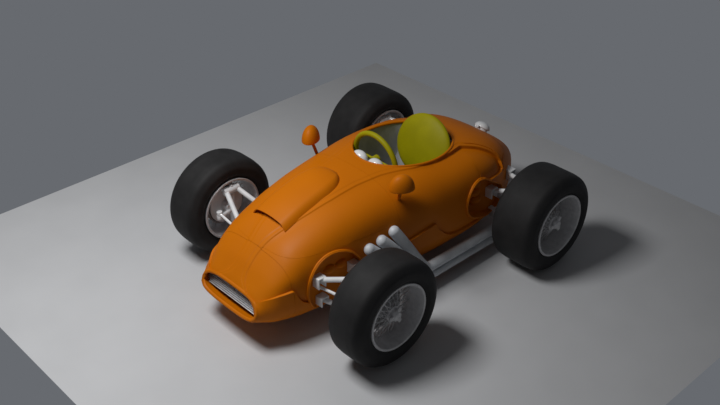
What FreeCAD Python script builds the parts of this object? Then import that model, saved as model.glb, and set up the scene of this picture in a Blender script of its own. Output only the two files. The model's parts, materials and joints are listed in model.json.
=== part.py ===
import FreeCAD, Part
import math
import os
import re
import Sketcher

# Open wheel racing car. Millimetres. Nose towards -Y, car's left towards +X, ground at Z = 0.

doc = FreeCAD.newDocument("racing_car")
sheet = doc.addObject("Spreadsheet::Sheet", "dimensions")

# Overall layout
layout = {
    "wheelbase": 1356, "front_axle_y": -676, "front_track": 1500, "rear_track": 1540,
    "axle_height": 330, "front_tyre_radius": 330, "rear_tyre_radius": 328,
    "front_tyre_width": 262, "rear_tyre_width": 316,
}
# Wheels
wheels = {
    "bead_gap": 0.3, "flange_radius": 209, "barrel_radius": 188, "barrel_wall": 7,
    "hub_radius": 34, "hub_bore_radius": 20.05, "spindle_radius": 20, "spoke_side": 5,
    "spoke_count": 24, "drum_radius": 138, "drum_width": 46, "ear_length": 58, "ear_width": 26,
}
# Body shell
shell = {
    "wall": 12, "seat_gap": 0.3, "lip_height": 7, "lip_width": 10, "blister_height": 34, "scoop_height": 22,
    "blister_half_width": 145, "blister_front_y": -190, "blister_rear_y": 158,
    "front_recess_radius": 178, "front_recess_floor_x": 338,
    "rear_recess_radius": 165, "rear_recess_floor_x": 392, "rear_recess_ahead": 112,
    "cockpit_y": 893, "cockpit_half_width": 276, "cockpit_half_length": 352,
    "tray_top": 152, "nose_joint_y": -300, "bonnet_rear_y": 455, "tail_joint_y": 1290,
    "bonnet_side_z": 520,
}
# Cockpit
cockpit = {
    "tub_wall": 8, "tub_floor_z": 200, "floor_thick": 10, "steering_y": 656, "steering_z": 690,
    "steering_radius": 176, "steering_tube": 17, "column_radius": 14, "boss_radius": 28,
    "pod_radius": 38, "seat_half_width": 206, "seat_half_height": 200, "seat_half_thick": 52,
    "seat_y": 1082, "seat_z": 632, "cap_y": 1655, "cap_radius": 55, "neck_radius": 44,
}
# Running gear
gear = {
    "kingpin_x": 625, "arm_radius": 16, "barrel_length": 112, "barrel_r": 26, "pin_radius": 12,
    "pin_bore_radius": 12.05, "upper_eye_z": 470, "lower_eye_z": 192, "steer_arm": 115,
    "rack_radius": 17, "rack_y": -118, "rack_z": 300, "tie_radius": 9, "post_radius": 19,
    "shaft_radius": 20, "upright_bore_radius": 20.05, "rear_upright_x": 640,
    "pipe_radius": 32, "pipe_x": 505, "pipe_z": 158, "pipe_wall": 4, "pipe_end_y": 1780,
    "low_pipe_radius": 25, "low_pipe_x": 510, "low_pipe_z": 91, "header_radius": 25,
    "tip_step": 1.5, "tip_length": 60,
}
values = {}
for group in (layout, wheels, shell, cockpit, gear):
    values.update(group)
for row, name in enumerate(values, start=1):
    sheet.set("A%d" % row, name)
    sheet.set("B%d" % row, str(values[name]))
    sheet.setAlias("B%d" % row, name)
doc.recompute()
v = {name: float(sheet.get(name)) for name in values}

names = sorted(values, key=len, reverse=True)
alias_pattern = re.compile(r"\b(" + "|".join(names) + r")\b")
front_y = v["front_axle_y"]
rear_y = front_y + v["wheelbase"]
left = FreeCAD.Vector(1, 0, 0)
up = FreeCAD.Vector(0, 0, 1)
back = FreeCAD.Vector(0, 1, 0)


def vec(x, y, z):
    return FreeCAD.Vector(x, y, z)


def bind(obj, prop, value):
    if isinstance(value, str):
        obj.setExpression(prop, alias_pattern.sub(r"dimensions.\1", value))
    else:
        setattr(obj, prop, value)


def turned(direction):
    return FreeCAD.Rotation(up, direction)


def rod(label, radius, length, start, direction):
    obj = doc.addObject("Part::Cylinder", label)
    bind(obj, "Radius", radius)
    bind(obj, "Height", length)
    obj.Placement = FreeCAD.Placement(start, turned(direction))
    return obj


def rod_between(label, radius, start, end):
    return rod(label, radius, (end - start).Length, start, end - start)


def ball(label, radius, centre):
    obj = doc.addObject("Part::Sphere", label)
    bind(obj, "Radius", radius)
    obj.Placement = FreeCAD.Placement(centre, FreeCAD.Rotation())
    return obj


def block(label, size, corner, rotation=None):
    obj = doc.addObject("Part::Box", label)
    for prop, value in zip(("Length", "Width", "Height"), size):
        bind(obj, prop, value)
    obj.Placement = FreeCAD.Placement(corner, rotation or FreeCAD.Rotation())
    return obj


def cone(label, radius_a, radius_b, length, start, direction):
    obj = doc.addObject("Part::Cone", label)
    bind(obj, "Radius1", radius_a)
    bind(obj, "Radius2", radius_b)
    bind(obj, "Height", length)
    obj.Placement = FreeCAD.Placement(start, turned(direction))
    return obj


def egg(label, half_x, half_y, half_z, centre, rotation=None):
    obj = doc.addObject("Part::Ellipsoid", label)
    bind(obj, "Radius1", half_z)
    bind(obj, "Radius2", half_x)
    bind(obj, "Radius3", half_y)
    obj.Placement = FreeCAD.Placement(centre, rotation or FreeCAD.Rotation())
    return obj


def fused(label, parts, refine=True):
    obj = doc.addObject("Part::MultiFuse", label)
    obj.Shapes = parts
    obj.Refine = refine
    return obj


def common(label, parts):
    obj = doc.addObject("Part::MultiCommon", label)
    obj.Shapes = parts
    return obj


def cut(label, base, tool):
    obj = doc.addObject("Part::Cut", label)
    obj.Base = base
    obj.Tool = tool
    return obj


def set_of(label, parts):
    obj = doc.addObject("Part::Compound", label)
    obj.Links = parts
    return obj


def mirrored(label, source):
    obj = doc.addObject("Part::Mirroring", label)
    obj.Source = source
    obj.Normal = left
    obj.Base = vec(0, 0, 0)
    return obj


def shape_of(label, shape):
    obj = doc.addObject("Part::Feature", label)
    obj.Shape = shape
    return obj


nodes = {}


def node(name, obj):
    obj.Label = name
    nodes[name] = obj


# Body form: stations along the car from the mouth to the tail
# Each station: distance behind the front axle, half width, top height, bottom height
stations = (
    (-535, 262, 312, 190),
    (-500, 276, 348, 170),
    (-400, 322, 455, 130),
    (-200, 362, 586, 88),
    (100, 397, 688, 78),
    (450, 436, 733, 86),
    (800, 480, 742, 108),
    (1150, 482, 712, 130),
    (1450, 402, 645, 145),
    (1700, 246, 492, 176),
    (1830, 130, 372, 222),
    (1885, 52, 318, 258),
)
squareness = 3.2
waist = 0.42


def section(station, grow):
    y, half_width, top, bottom = station
    a = half_width + grow
    high = top + grow
    low = bottom - grow
    middle = low + (high - low) * waist
    halves = []
    for sign in (1, -1):
        points = []
        for step in range(17):
            angle = math.pi * (step / 16 - 0.5)
            c, s = math.cos(angle), math.sin(angle)
            x = a * max(c, 0) ** (2 / squareness)
            reach = high - middle if s >= 0 else middle - low
            z = middle + reach * math.copysign(abs(s) ** (2 / squareness), s)
            points.append(vec(sign * x, front_y + y, z))
        if sign < 0:
            points.reverse()
        curve = Part.BSplineCurve()
        curve.interpolate(points, False, InitialTangent=left * sign, FinalTangent=left * -sign)
        halves.append(curve.toShape())
    return Part.Wire(halves)


def body_form(grow, rows):
    return Part.makeLoft([section(row, grow) for row in rows], True, False)


wall = v["wall"]
outer = shape_of("outer_form", body_form(0, stations))
near = shape_of("near_form", body_form(v["seat_gap"], stations))
inner_rows = stations[:-2] + ((1815, 140, 385, 218), (1868, 62, 330, 250))
inner = shape_of("inner_form", body_form(-wall, inner_rows))
lip_form = shape_of("lip_form", body_form(v["lip_height"], stations[1:-1]))
blister_form = shape_of("blister_form", body_form(v["blister_height"], stations[2:7]))
scoop_form = shape_of("scoop_form", body_form(v["scoop_height"], stations[2:7]))

# Round recesses where the suspension meets the body
recess_rows = (
    ("front", front_y + 3, 330, v["front_recess_radius"], v["front_recess_floor_x"]),
    ("rear", rear_y - v["rear_recess_ahead"], 362, v["rear_recess_radius"], v["rear_recess_floor_x"]),
)
pockets = []
pocket_walls = []
lips = []
for place, y, z, radius, floor_x in recess_rows:
    for side, sign in (("left", 1), ("right", -1)):
        tag = place + "_" + side
        out = left * sign
        pockets.append(rod("pocket_" + tag, radius, 400, vec(sign * floor_x, y, z), out))
        pocket_walls.append(
            rod("pocket_wall_" + tag, radius + wall, 400, vec(sign * (floor_x - wall), y, z), out))
        ring = cut("lip_ring_" + tag,
                   rod("lip_out_" + tag, radius + v["lip_width"], 300, vec(sign * (floor_x - 60), y, z), out),
                   rod("lip_in_" + tag, radius, 320, vec(sign * (floor_x - 70), y, z), out))
        lips.append(common("lip_" + tag, [ring, lip_form]))
pocket_set = set_of("pockets", pockets)
cavity = cut("cavity", inner, set_of("pocket_walls", pocket_walls))
skin = cut("skin", fused("lipped_form", [outer] + lips, False), pocket_set)
hollow = cut("hollow_shell", skin, cavity)

# Holes in the recess floors for arms, shafts and rods, and the cockpit opening
cockpit_y = front_y + v["cockpit_y"]


def oval(label, half_x, half_y, low, high):
    ellipse = Part.Ellipse(vec(0, half_y, 0), vec(half_x, 0, 0), vec(0, 0, 0))
    face = Part.Face(Part.Wire(ellipse.toShape()))
    return shape_of(label, face.extrude(vec(0, 0, high - low)).translated(vec(0, cockpit_y, low)))


cockpit_hole = oval("cockpit_hole", v["cockpit_half_width"], v["cockpit_half_length"], 420, 900)
open_shell = cut("open_shell", hollow, cockpit_hole)

# Panels cut from the one shell
nose_y = front_y + v["nose_joint_y"]
bonnet_y = front_y + v["bonnet_rear_y"]
tail_y = front_y + v["tail_joint_y"]
tray_top = v["tray_top"]
side_z = v["bonnet_side_z"]
whole = 3000
nose_box = block("nose_box", (1400, 800, 1000), vec(-700, nose_y - 800, 0))
bonnet_box = block("bonnet_box", (1400, bonnet_y - nose_y, 500), vec(-700, nose_y, side_z))
centre_box = cut("centre_box",
                 block("centre_block", (1400, tail_y - nose_y, 1000 - tray_top), vec(-700, nose_y, tray_top)),
                 bonnet_box)
tray_box = block("tray_box", (1400, tail_y - nose_y, tray_top), vec(-700, nose_y, 0))
tail_box = block("tail_box", (1400, 900, 1000), vec(-700, tail_y, 0))

node("nose_cowl", common("nose_part", [open_shell, nose_box]))

# Bonnet with a raised blister and a forward scoop
blister_y = front_y + v["blister_front_y"]
blister_end = front_y + v["blister_rear_y"]


def pad(label, half_width, y_start, y_end, low, high):
    plain = block(label + "_plain", (2 * half_width, y_end - y_start, high - low),
                  vec(-half_width, y_start, low))
    end = rod(label + "_end", half_width, high - low, vec(0, y_end, low), up)
    return fused(label, [plain, end])


blister_pad = pad("blister_pad", v["blister_half_width"], blister_y, blister_end, 480, 900)
scoop_pad = pad("scoop_pad", v["blister_half_width"] - 14, blister_y - 40, blister_y + 90, 480, 900)
blister_body = cut("blister_body", common("blister_block", [blister_form, blister_pad]), inner)
bonnet_skin = common("bonnet_skin", [open_shell, bonnet_box])
scoop_space = cut("scoop_space", common("scoop_block", [scoop_form, scoop_pad]), outer)
node("bonnet", cut("bonnet_part", fused("bonnet_solid", [bonnet_skin, blister_body], False), scoop_space))

# Steering rack and rods set the holes in the recess floor
rack_y = front_y + v["rack_y"]
rack_z = v["rack_z"]
tie_y = front_y - v["steer_arm"]
holes = []
for side, sign in (("left", 1), ("right", -1)):
    out = left * sign
    holes.append(rod("tie_hole_" + side, 28, 260, vec(sign * 250, rack_y, rack_z - 3), out))
    holes.append(rod("shaft_hole_" + side, 34, 260, vec(sign * 250, rear_y, v["axle_height"]), out))
centre_solid = cut("centre_part", common("centre_shell", [open_shell, centre_box]), set_of("side_holes", holes[0::2]))
tail_solid = common("tail_shell", [open_shell, tail_box])
tail_cut = cut("tail_part", tail_solid, set_of("tail_holes", holes[1::2]))
centre_cut = cut("centre_open", centre_solid, set_of("shaft_holes",
                 [rod("shaft_room_" + side, 34, 260, vec(sign * 250, rear_y, v["axle_height"]), left * sign)
                  for side, sign in (("left", 1), ("right", -1))]))
node("body_shell", centre_cut)



# Filler neck and hinged cap, square to the sloping tail
def surface_top(y):
    line = Part.makeLine(vec(1, y, 300), vec(1, y, 1100))
    return outer.Shape.common(line).BoundBox.ZMax


cap_y = front_y + v["cap_y"]
cap_z = surface_top(cap_y)
fall = math.degrees(math.atan2(surface_top(cap_y - 50) - surface_top(cap_y + 50), 100))
cap_frame = FreeCAD.Placement(vec(0, cap_y, cap_z), FreeCAD.Rotation(left, -fall))


def at_cap(obj):
    obj.Placement = cap_frame.multiply(obj.Placement)
    return obj


neck_hole = at_cap(rod("neck_hole", "neck_radius + 0.3", 120, vec(0, 0, -80), up))
drive_bearers = [block("bearer_drive_%d" % step, (220, 30, 230), vec(-110, rear_y + offset, 0))
                 for step, offset in enumerate((-55, 55))]
drive_seat = common("drive_seat", [set_of("drive_bearers", drive_bearers), inner])
tail_solid = fused("tail_with_seat", [tail_cut, drive_seat], False)
node("tail_cowl", cut("tail_open", tail_solid, neck_hole))
seat_z = 12
hinge_y = -v["cap_radius"] - 6
neck_solid = fused("neck_solid", [
    at_cap(rod("neck_tube", "neck_radius", 70 + seat_z, vec(0, 0, -70), up)),
    at_cap(block("neck_ear_a", (5, 11, 16), vec(9.3, hinge_y - 6, seat_z - 11))),
    at_cap(block("neck_ear_b", (5, 11, 16), vec(-14.3, hinge_y - 6, seat_z - 11))),
    at_cap(block("neck_shelf", (28.6, 28, 3), vec(-14.3, hinge_y - 6, seat_z - 11))),
    at_cap(rod("cap_pin", 3, 28.6, vec(-14.3, hinge_y, seat_z), left))])
neck_bore = at_cap(rod("neck_bore", "neck_radius - 6", 70, vec(0, 0, -56), up))
node("filler_neck", cut("neck_part", neck_solid, neck_bore))
cap_dome = at_cap(egg("cap_dome", "cap_radius", "cap_radius", 40, vec(0, 0, seat_z + 4)))
cap_trim = at_cap(block("cap_trim", (200, 200, 100), vec(-100, -100, seat_z + 0.5)))
cap_lug = at_cap(block("cap_lug", (18, 34, 10), vec(-9, hinge_y, seat_z + 0.5)))
cap_knuckle = at_cap(rod("cap_knuckle", 7, 18, vec(-9, hinge_y, seat_z), left))
cap_eye = at_cap(rod("cap_eye", 3.05, 40, vec(-20, hinge_y, seat_z), left))
cap_solid = fused("cap_solid", [common("cap_cover", [cap_dome, cap_trim]), cap_lug, cap_knuckle])
node("fuel_cap", cut("cap_part", cap_solid, cap_eye))
bearers = [block("bearer_" + label, (2 * half, depth, top - 60), vec(-half, y, 60))
           for label, y, half, depth, top in (
               ("engine_a", front_y - 60, 150, 30, 249.7), ("engine_b", front_y + 370, 150, 30, 249.7),
               ("rack", rack_y - 30, 60, 60, rack_z - 42.3))]
bearer_part = common("bearer_part", [set_of("bearers", bearers), inner])
node("under_tray", fused("tray_solid", [common("tray_part", [open_shell, tray_box]), bearer_part], False))

# Mouth grille and radiator behind it
mouth_rear = front_y - 470
slats = [block("slat_%d" % step, (640, 26, 5), vec(-320, mouth_rear, 203 + 21 * step)) for step in range(6)]
posts = [block("grille_post_%d" % step, (8, 18, 300), vec(x - 4, mouth_rear + 26, 120))
         for step, x in enumerate((-214, -107, 0, 107, 214))]
node("grille", common("grille_part", [fused("grille_solid", slats + posts), inner]))
node("radiator", common("radiator_part", [block("radiator_core", (400, 60, 300), vec(-200, front_y - 390, 100)), inner]))

# Cockpit tub
tub_out = oval("tub_out", v["cockpit_half_width"] + v["tub_wall"],
               v["cockpit_half_length"] + v["tub_wall"], v["tub_floor_z"] - v["floor_thick"], 900)
tub_in = oval("tub_in", v["cockpit_half_width"], v["cockpit_half_length"], v["tub_floor_z"], 950)
tub_wall = cut("tub_walls", tub_out, tub_in)
seat_turn = FreeCAD.Rotation(left, -20)
seat_centre = vec(0, front_y + v["seat_y"], v["seat_z"])
panel_start = seat_centre + seat_turn.multVec(vec(-290, v["seat_half_thick"] + 0.3, -520))
panel = common("seat_panel", [block("panel_block", (580, 10, 700), panel_start, seat_turn), tub_in, inner])

# Steering wheel on a sloping column
steer_y = front_y + v["steering_y"]
steer_centre = vec(0, steer_y, v["steering_z"])
column_dir = vec(0, 1, 0.07)
column_dir.normalize()
ring = doc.addObject("Part::Torus", "wheel_rim_ring")
bind(ring, "Radius1", "steering_radius")
bind(ring, "Radius2", "steering_tube")
ring.Placement = FreeCAD.Placement(steer_centre, turned(column_dir))
spokes = []
side_dir = left
rise_dir = column_dir.cross(left)
for step, angle in enumerate((0, 180, 270)):
    a = math.radians(angle)
    direction = side_dir * math.cos(a) - rise_dir * math.sin(a)
    spokes.append(rod("wheel_spoke_%d" % step, 8, "steering_radius", steer_centre, direction))
boss = rod("wheel_boss", "boss_radius", 40, steer_centre - column_dir * 20, column_dir)
wheel_solid = fused("wheel_solid", [ring, boss] + spokes)
socket = rod("column_socket", "column_radius + 0.05", 30, steer_centre - column_dir * 22, column_dir)
node("steering_wheel", cut("wheel_part", wheel_solid, socket))
column_end = steer_centre - column_dir * 200
column = rod("column_tube", "column_radius", 200 + 6, column_end, column_dir)
column_collar = rod("column_collar", "column_radius + 8", 50, steer_centre - column_dir * 98, column_dir)
node("steering_column", fused("column_part", [column, column_collar]))
column_room = rod("column_room", "column_radius + 0.3", 400, column_end - column_dir * 100, column_dir)
collar_room = rod("collar_room", "column_radius + 8.3", 400, steer_centre - column_dir * 98.3, column_dir)
tub_solid = fused("tub_solid", [common("tub_shell", [tub_wall, inner]), panel], False)
node("cockpit_tub", cut("tub_part", tub_solid, fused("steering_room", [column_room, collar_room])))

# Instrument pods behind the front rim of the cockpit
pods = []
for step, x in enumerate((-80, 80)):
    can = rod("pod_can_%d" % step, "pod_radius", 46, vec(x, front_y + 581, 706), back)
    pods.append(can)
pod_bar = rod("pod_bar", 8, 222, vec(-111, front_y + 574, 724), left)
pod_space = oval("pod_space", v["cockpit_half_width"] - 0.3, v["cockpit_half_length"] - 0.3, 500, 900)
node("instrument_pods", common("pod_part", [fused("pod_solid", pods + [pod_bar]), pod_space]))

# Seat: an oval back on a low base
node("seat_back", egg("seat_back_pad", "seat_half_width", "seat_half_thick", "seat_half_height",
                      seat_centre, seat_turn))
node("seat_base", block("seat_base_pad", (360, 270, 140), vec(-180, front_y + 690, v["tub_floor_z"] + 0.3)))

# Engine and gearbox, plain blocks
node("engine_block", block("engine_part", (300, 490, 290), vec(-150, front_y - 80, 250)))
node("final_drive", block("drive_part", (220, 200, 200), vec(-110, rear_y - 80, 230.3)))

# Exhaust on the left: four pipes into two long ones
pipe_start = front_y + 640
tail_pipes = []
for label, radius, x, z in (("upper", "pipe_radius", v["pipe_x"], v["pipe_z"]),
                            ("lower", "low_pipe_radius", v["low_pipe_x"], v["low_pipe_z"])):
    length = front_y + v["pipe_end_y"] - v["tip_length"] - pipe_start
    tube = rod(label + "_pipe", radius, length, vec(x, pipe_start, z), back)
    tip = rod(label + "_tip", radius + " - tip_step", "tip_length", vec(x, pipe_start + length, z), back)
    bore = rod(label + "_bore", radius + " - pipe_wall", 200, vec(x, pipe_start + length - 100, z), back)
    tail_pipes.append(cut(label + "_tail", fused(label + "_drawn", [tube, tip]), bore))
node("tail_pipes", fused("tail_pipe_part", tail_pipes))
headers = []
low_join = vec(v["low_pipe_x"], front_y + 585, v["low_pipe_z"])
high_join = vec(v["pipe_x"], front_y + 595, v["pipe_z"])
for step, (start, knee, end) in enumerate((
        (vec(380, front_y + 196, 480), vec(474, front_y + 216, 464), low_join),
        (vec(386, front_y + 306, 486), vec(480, front_y + 328, 468), high_join - back * 20),
        (vec(394, front_y + 418, 492), vec(486, front_y + 440, 470), high_join))):
    headers.append(rod_between("header_root_%d" % step, "header_radius", start, knee))
    headers.append(ball("header_knee_%d" % step, "header_radius", knee))
    headers.append(rod_between("header_run_%d" % step, "header_radius", knee, end))
headers.append(ball("collector_upper", "pipe_radius", high_join))
headers.append(rod("collector_upper_run", "pipe_radius", 44.7, high_join, back))
headers.append(ball("collector_lower", "header_radius", low_join))
headers.append(rod("collector_lower_run", "low_pipe_radius", 54.7, low_join, back))
node("exhaust_headers", cut("header_part", fused("header_solid", headers), skin))

# Mirrors on short stalks
head = vec(-402, front_y + 478, 778)
yaw = FreeCAD.Rotation(up, 14)
stalk = cut("mirror_foot", rod_between("mirror_stalk", 10, vec(-345, front_y + 500, 600), head), near)
body = egg("mirror_body", 50, 84, 54, head, yaw)
trim = block("mirror_trim", (200, 200, 200), head + yaw.multVec(vec(-100, -158, -100)), yaw)
mirror = fused("mirror_right", [stalk, common("mirror_shell", [body, trim])])
mirror_parts = [mirror, mirrored("mirror_left", mirror)]
node("mirrors", set_of("mirror_pair", mirror_parts))


# Wheels
def revolved(label, points, centre_x, centre_y, centre_z):
    body = doc.addObject("PartDesign::Body", label)
    sketch = body.newObject("Sketcher::SketchObject", label + "_profile")
    origin_plane = [f for f in body.Origin.OriginFeatures if "XZ" in f.Name][0]
    sketch.AttachmentSupport = (origin_plane, [""])
    sketch.MapMode = "FlatFace"
    count = len(points)
    numeric = []
    for u, w in points:
        numeric.append((u[1], w[1]))
    for step in range(count):
        a = numeric[step]
        b = numeric[(step + 1) % count]
        sketch.addGeometry(Part.LineSegment(vec(a[0], a[1], 0), vec(b[0], b[1], 0)), False)
    for step in range(count):
        sketch.addConstraint(Sketcher.Constraint("Coincident", step, 2, (step + 1) % count, 1))
    for step, (u, w) in enumerate(points):
        index = sketch.addConstraint(Sketcher.Constraint("DistanceX", -1, 1, step, 1, u[1]))
        sketch.setExpression("Constraints[%d]" % index, alias_pattern.sub(r"dimensions.\1", u[0]))
        index = sketch.addConstraint(Sketcher.Constraint("DistanceY", -1, 1, step, 1, w[1]))
        sketch.setExpression("Constraints[%d]" % index, alias_pattern.sub(r"dimensions.\1", w[0]))
    turn = body.newObject("PartDesign::Revolution", label + "_turned")
    turn.Profile = sketch
    turn.ReferenceAxis = (sketch, ["H_Axis"])
    turn.Angle = 360
    body.Tip = turn
    body.Placement = FreeCAD.Placement(vec(centre_x, centre_y, centre_z), FreeCAD.Rotation())
    return body


def tyre_points(radius_name, width_name):
    r = v[radius_name]
    w = v[width_name] / 2
    bead = v["barrel_radius"] + v["barrel_wall"] + v["bead_gap"]
    rows = []
    half = ((43, "bead", 0), (12, "bead", 16), (0, "bead", 38), (0, "tread", 62), (14, "tread", 22),
            (42, "tread", 3), (80, "tread", 0))
    for sign in (1, -1):
        order = half if sign > 0 else tuple(reversed(half))
        for inset, base, step in order:
            u = ("%s / 2 - %g" % (width_name, inset), w - inset)
            if sign < 0:
                u = ("%g - %s / 2" % (inset, width_name), inset - w)
            if base == "bead":
                z = ("barrel_radius + barrel_wall + bead_gap + %g" % step, bead + step)
            else:
                z = ("%s - %g" % (radius_name, step), r - step)
            rows.append((u, z))
    return rows


def rim_points(inner, outboard, well):
    b = v["barrel_radius"]
    f = v["flange_radius"]
    t = v["barrel_wall"]
    outline = (
        (outboard, f), (outboard - 8, f), (outboard - 8, b + t + 6), (outboard - 34, b + t),
        (well, b + t), (-inner + 34, b + t), (-inner + 8, b + t + 6), (-inner + 8, f), (-inner, f),
        (-inner, b + 6), (-inner + 34, b), (outboard - 34, b), (outboard, b + 6),
    )
    rows = []
    for x, r in outline:
        if r == f:
            z = ("flange_radius", r)
        elif r >= b + t:
            z = ("barrel_radius + barrel_wall + %g" % (r - b - t), r)
        else:
            z = ("barrel_radius + %g" % (r - b), r)
        rows.append((("%g" % x, x), z))
    return rows


def build_wheel(place, y, track, radius_name, width_name, inner, outboard, hub_in, hub_out):
    x = v[track] / 2
    z = v[radius_name]
    tyre = revolved("tyre_" + place, tyre_points(radius_name, width_name), x, y, z)
    barrel = revolved("barrel_" + place, rim_points(inner, outboard, 0), x, y, z)
    centre = vec(x, y, z)
    hub = rod("hub_" + place, "hub_radius", hub_out - hub_in, centre + left * hub_in, left)
    hub_flange = rod("hub_flange_" + place, "hub_radius + 14", 10, centre + left * (hub_out - 24), left)
    hub_flange_in = rod("hub_flange_in_" + place, "hub_radius + 14", 10, centre + left * (hub_in + 6), left)
    wires = []
    count = int(v["spoke_count"])
    for step in range(count):
        root_x = hub_out - 19 if step % 2 == 0 else hub_in + 11
        rim_x = 8 if step % 2 == 0 else -8
        lean = 24 if (step // 2) % 2 == 0 else -24
        a = math.radians(360.0 * step / count)
        b = a + math.radians(lean)
        start = centre + vec(root_x, 40 * math.cos(a), 40 * math.sin(a))
        reach = v["barrel_radius"] + 3
        end = centre + vec(rim_x, reach * math.cos(b), reach * math.sin(b))
        direction = end - start
        side = "spoke_side"
        turn = turned(direction)
        corner = start - turn.multVec(vec(v[side] / 2, v[side] / 2, 0))
        wires.append(block("spoke_%s_%d" % (place, step), (side, side, direction.Length), corner, turn))
    ears = []
    for step in range(3):
        a = math.radians(90 + 120 * step)
        turn = FreeCAD.Rotation(left, 90 + 120 * step)
        corner = centre + vec(hub_out, 0, 0) + turn.multVec(vec(0, 0, -v["ear_width"] / 2))
        ears.append(block("ear_%s_%d" % (place, step), (16, "ear_length", "ear_width"), corner, turn))
    nut = cone("nut_" + place, "hub_radius - 2", "hub_radius - 12", 26, centre + left * hub_out, left)
    solid = fused("rim_solid_" + place, [barrel, hub, hub_flange, hub_flange_in, nut] + wires + ears)
    bore = rod("hub_bore_" + place, "hub_bore_radius", hub_out - hub_in - 10 + 1, centre + left * (hub_in - 1), left)
    rim = cut("rim_part_" + place, solid, bore)
    drum = cut("drum_part_" + place,
               rod("drum_" + place, "drum_radius", "drum_width", centre + left * (hub_in - 46.3), left),
               fused("drum_space_" + place, [
                   rod("drum_room_" + place, "drum_radius - 9", "drum_width - 8",
                       centre + left * (hub_in - 47.3), left),
                   rod("drum_bore_" + place, "hub_bore_radius", 80, centre + left * (hub_in - 60), left)]))
    return tyre, rim, drum


for place, y, track, radius_name, width_name, inner, outboard, hub_in, hub_out in (
        ("front", front_y, "front_track", "front_tyre_radius", "front_tyre_width", 133, 124, -8, 92),
        ("rear", rear_y, "rear_track", "rear_tyre_radius", "rear_tyre_width", 154, 154, -10, 118)):
    tyre, rim, drum = build_wheel(place, y, track, radius_name, width_name, inner, outboard, hub_in, hub_out)
    node("tyre_%s_left" % place, tyre)
    node("rim_%s_left" % place, rim)
    node("drum_%s_left" % place, drum)
    node("tyre_%s_right" % place, mirrored("tyre_right_" + place, tyre))
    node("rim_%s_right" % place, mirrored("rim_right_" + place, rim))
    node("drum_%s_right" % place, mirrored("drum_right_" + place, drum))

# Front knuckle: kingpin post, spindle, back plate and steering arm
king_x = v["kingpin_x"]
axle_z = v["front_tyre_radius"]
upper_z = v["upper_eye_z"]
lower_z = v["lower_eye_z"]
hub_face = v["front_track"] / 2 - 8
post_low = lower_z + 22.3
post_high = upper_z - v["barrel_r"] - 0.3
post = rod("king_post", "post_radius", post_high - post_low, vec(king_x, front_y, post_low), up)
pin_up = rod("pin_upper", "pin_radius", v["barrel_r"] * 2 + 12, vec(king_x, front_y, post_high - 5), up)
pin_down = rod("pin_lower", "pin_radius", 60, vec(king_x, front_y, lower_z - 33), up)
spindle = rod("spindle", "spindle_radius", hub_face + 80 - king_x, vec(king_x, front_y, axle_z), left)
plate_x = hub_face - 46.3 - 7
plate = rod("back_plate", "drum_radius - 14", 6, vec(plate_x, front_y, axle_z), left)
carrier = rod("carrier", 44, plate_x - king_x, vec(king_x, front_y, axle_z), left)
arm_end = vec(king_x - 20, front_y - v["steer_arm"], axle_z - 6)
arm = rod_between("steer_arm_bar", 13, vec(king_x, front_y, axle_z - 6), arm_end)
eye = rod("steer_arm_eye", 19, 26, arm_end + vec(0, 0, -13), up)
knuckle = fused("knuckle_part", [post, pin_up, pin_down, spindle, plate, carrier, arm, eye])
node("knuckle_left", knuckle)
node("knuckle_right", mirrored("knuckle_mirror", knuckle))

# Brackets on the recess floors and on the tail
bracket_parts = []
floor_front = v["front_recess_floor_x"]
floor_rear = v["rear_recess_floor_x"]
for label, x, y, z, deep, high in (("front_upper_a", floor_front, front_y - 95, 366, 36, 62),
                                   ("front_upper_b", floor_front, front_y + 95, 366, 36, 62),
                                   ("front_lower_a", floor_front, front_y - 95, 232, 36, 44),
                                   ("front_lower_b", floor_front, front_y + 95, 232, 36, 44),
                                   ("rear_upper_a", floor_rear, rear_y - 45, 372, 36, 62),
                                   ("rear_lower_a", floor_rear, rear_y - 60, 250, 36, 44)):
    bracket_parts.append(block("bracket_" + label, (deep, 54, high), vec(x, y - 27, z - high / 2)))
for label, y, z, high in (("rear_upper_b", rear_y + 150, 418, 54), ("rear_lower_b", rear_y + 140, 250, 44)):
    pad_block = block("bracket_" + label, (80, 54, high), vec(325, y - 27, z - high / 2))
    bracket_parts.append(cut("bracket_on_" + label, pad_block, near))
left_brackets = set_of("bracket_left", bracket_parts)
node("suspension_brackets", set_of("bracket_pair", [left_brackets, mirrored("bracket_right", left_brackets)]))

# Front arms: two legs from body brackets to a cross barrel above and an eye below
barrel_y0 = front_y - v["barrel_length"] / 2
upper_barrel = rod("upper_barrel", "barrel_r", "barrel_length", vec(king_x, barrel_y0, upper_z), back)
upper_bore = rod("upper_barrel_bore", "pin_bore_radius", 80, vec(king_x, front_y, upper_z - 40), up)
upper_legs = []
lower_legs = []
for step, sign in enumerate((-1, 1)):
    upper_in = vec(352, front_y + sign * 95, 366)
    lower_in = vec(352, front_y + sign * 95, 232)
    upper_legs.append(rod_between("upper_leg_%d" % step, "arm_radius", upper_in,
                                  vec(king_x, front_y + sign * 42, upper_z)))
    lower_legs.append(rod_between("lower_leg_%d" % step, "arm_radius", lower_in,
                                  vec(king_x - 12, front_y + sign * 10, lower_z)))
lower_eye = rod("lower_eye", 27, 44, vec(king_x, front_y, lower_z - 22), up)
lower_bore = rod("lower_eye_bore", "pin_bore_radius", 80, vec(king_x, front_y, lower_z - 40), up)
upper_arm = cut("upper_arm_part", fused("upper_arm_solid", [upper_barrel] + upper_legs), upper_bore)
lower_arm = cut("lower_arm_part", fused("lower_arm_solid", [lower_eye] + lower_legs), lower_bore)
arms = cut("front_arms_part", set_of("front_arm_pair", [upper_arm, lower_arm]), left_brackets)
node("front_arms_left", arms)
node("front_arms_right", mirrored("front_arms_mirror", arms))

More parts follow.
